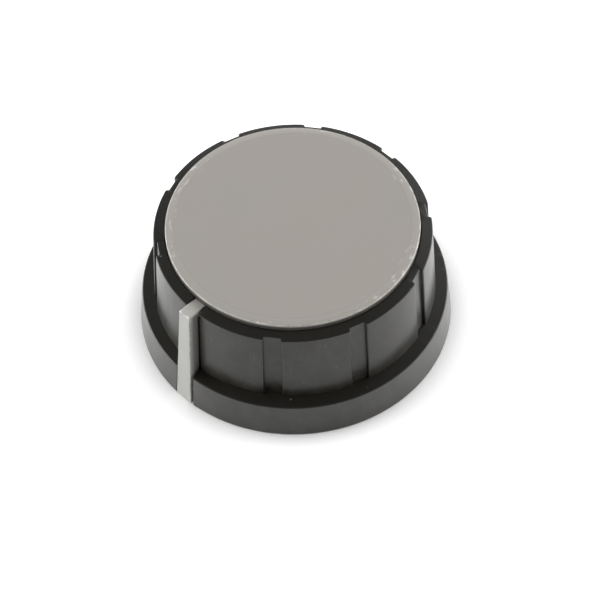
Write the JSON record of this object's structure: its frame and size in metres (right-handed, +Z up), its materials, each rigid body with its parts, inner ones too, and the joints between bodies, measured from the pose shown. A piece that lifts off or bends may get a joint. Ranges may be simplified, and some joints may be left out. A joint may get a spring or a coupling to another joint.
{
  "type": "pointer knob",
  "caption": "Round push-on control knob with a flared skirt, a fluted black grip, a grey cap disc and a grey pointer arm that runs down its side.",
  "frame": {"origin": "centre of the base rim, on the shaft's axis, at the level that the skirt's lower edge rests on", "axes": "+Z up along the shaft's axis, -Y towards the pointer, +X to the right of the pointer as seen from the front"},
  "size_m": [0.05, 0.0499, 0.0215],
  "materials": {
    "black_plastic": "satin moulded black plastic",
    "grey_plastic": "matt warm grey moulded plastic",
    "spring_steel": "plain spring steel strip"
  },
  "bodies": {
    "root": {"knob_body": "black_plastic", "cap_pointer": "grey_plastic", "hub_spring_ring": "spring_steel"}
  },
  "joints": []
}
